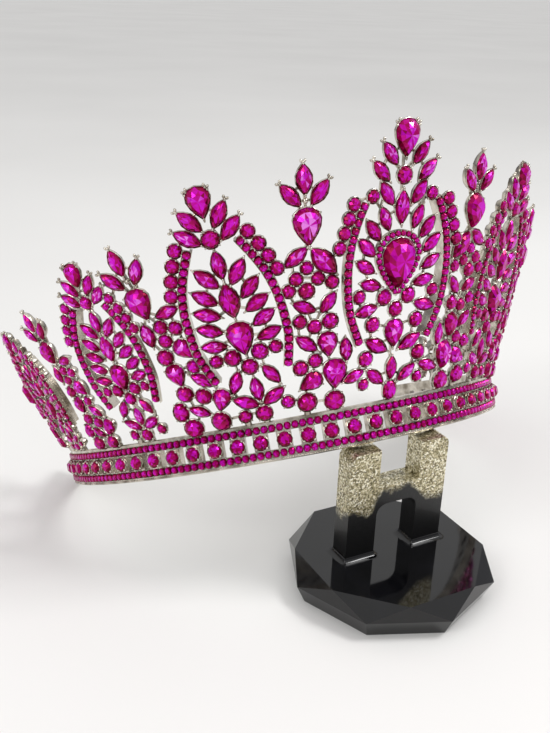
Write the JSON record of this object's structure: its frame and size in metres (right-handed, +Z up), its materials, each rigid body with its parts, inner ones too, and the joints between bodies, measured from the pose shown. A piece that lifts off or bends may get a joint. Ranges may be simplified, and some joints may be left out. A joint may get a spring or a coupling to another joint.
{
  "type": "pageant crown on its display stand",
  "caption": "Tall open-backed pageant crown: pierced silver-tone wall of arches and spires set with fuchsia stones on a banded rim, leaning on a small gem-cut stand.",
  "frame": {"origin": "centre of the underside of the stand's base, on the table", "axes": "+Z up, -Y towards the front of the crown, +X to the right as it is seen from the front"},
  "size_m": [0.1866, 0.1319, 0.1361],
  "materials": {
    "silver_tone_metal": "polished cast metal with a bright silver-tone plating",
    "fuchsia_glass": "faceted, foil-backed fuchsia glass",
    "black_resin": "glossy black cast resin, gem-cut",
    "glitter_resin": "clear resin with champagne and silver glitter above, glossy black below"
  },
  "bodies": {
    "root": {"metal_frame": "silver_tone_metal", "band_stones": "fuchsia_glass", "stand_base": "black_resin", "stand_upright": "glitter_resin", "centre_crest": "fuchsia_glass", "centre_drop": "fuchsia_glass", "left_front_spire_drop": "fuchsia_glass", "right_front_spire_drop": "fuchsia_glass", "left_front_arch_crest": "fuchsia_glass", "left_front_arch_drop": "fuchsia_glass", "right_front_arch_crest": "fuchsia_glass", "right_front_arch_drop": "fuchsia_glass", "left_side_spire_drop": "fuchsia_glass", "right_side_spire_drop": "fuchsia_glass", "left_side_arch_crest": "fuchsia_glass", "left_side_arch_drop": "fuchsia_glass", "right_side_arch_crest": "fuchsia_glass", "right_side_arch_drop": "fuchsia_glass", "left_rear_spire_drop": "fuchsia_glass", "right_rear_spire_drop": "fuchsia_glass", "left_rear_arch_crest": "fuchsia_glass", "left_rear_arch_drop": "fuchsia_glass", "right_rear_arch_crest": "fuchsia_glass", "right_rear_arch_drop": "fuchsia_glass", "centre_stones": "fuchsia_glass", "arch_stones": "fuchsia_glass", "spire_stones": "fuchsia_glass", "end_stones": "fuchsia_glass"}
  },
  "joints": []
}
